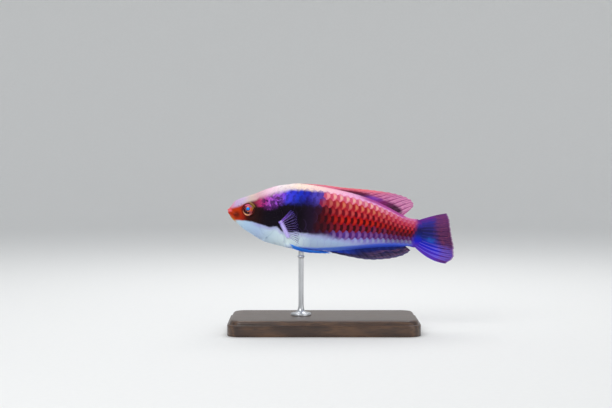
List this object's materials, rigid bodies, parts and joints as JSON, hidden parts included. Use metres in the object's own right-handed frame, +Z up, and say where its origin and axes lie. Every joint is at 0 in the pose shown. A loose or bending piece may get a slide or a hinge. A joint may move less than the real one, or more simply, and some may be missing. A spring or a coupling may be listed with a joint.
{
  "type": "wrasse display model",
  "caption": "Life-size fairy wrasse with a dark blue nape, red scaled flanks, low dorsal fin and blue fan tail, fixed on a rod above a flat rounded base.",
  "frame": {"origin": "centre of the stand base's underside", "axes": "+Z up, X along the base and the fish with the snout towards -X, +Y towards the fish's right side"},
  "size_m": [0.1005, 0.044, 0.0655],
  "materials": {
    "snout": "painted flesh, satin",
    "cheek": "painted flesh, satin",
    "flank": "painted scaled flesh, satin",
    "fin": "thin tinted membrane",
    "blue_fin": "thin tinted membrane",
    "tail_fin": "thin tinted membrane",
    "pale_fin": "thin tinted membrane",
    "eye": "wet gloss",
    "stand_wood": "dark varnish",
    "stand_steel": "fine turned"
  },
  "bodies": {
    "root": {"head": "snout", "jaw": "snout", "gill_cover_left": "cheek", "gill_cover_right": "cheek", "trunk": "flank", "tail_stem": "flank", "dorsal_fin": "fin", "anal_fin": "blue_fin", "caudal_fin": "tail_fin", "pectoral_fin_left": "pale_fin", "pectoral_fin_right": "pale_fin", "pelvic_fin_left": "blue_fin", "pelvic_fin_right": "blue_fin", "eye_left": "eye", "eye_right": "eye", "stand_base": "stand_wood", "stand_rod": "stand_steel"}
  },
  "joints": []
}
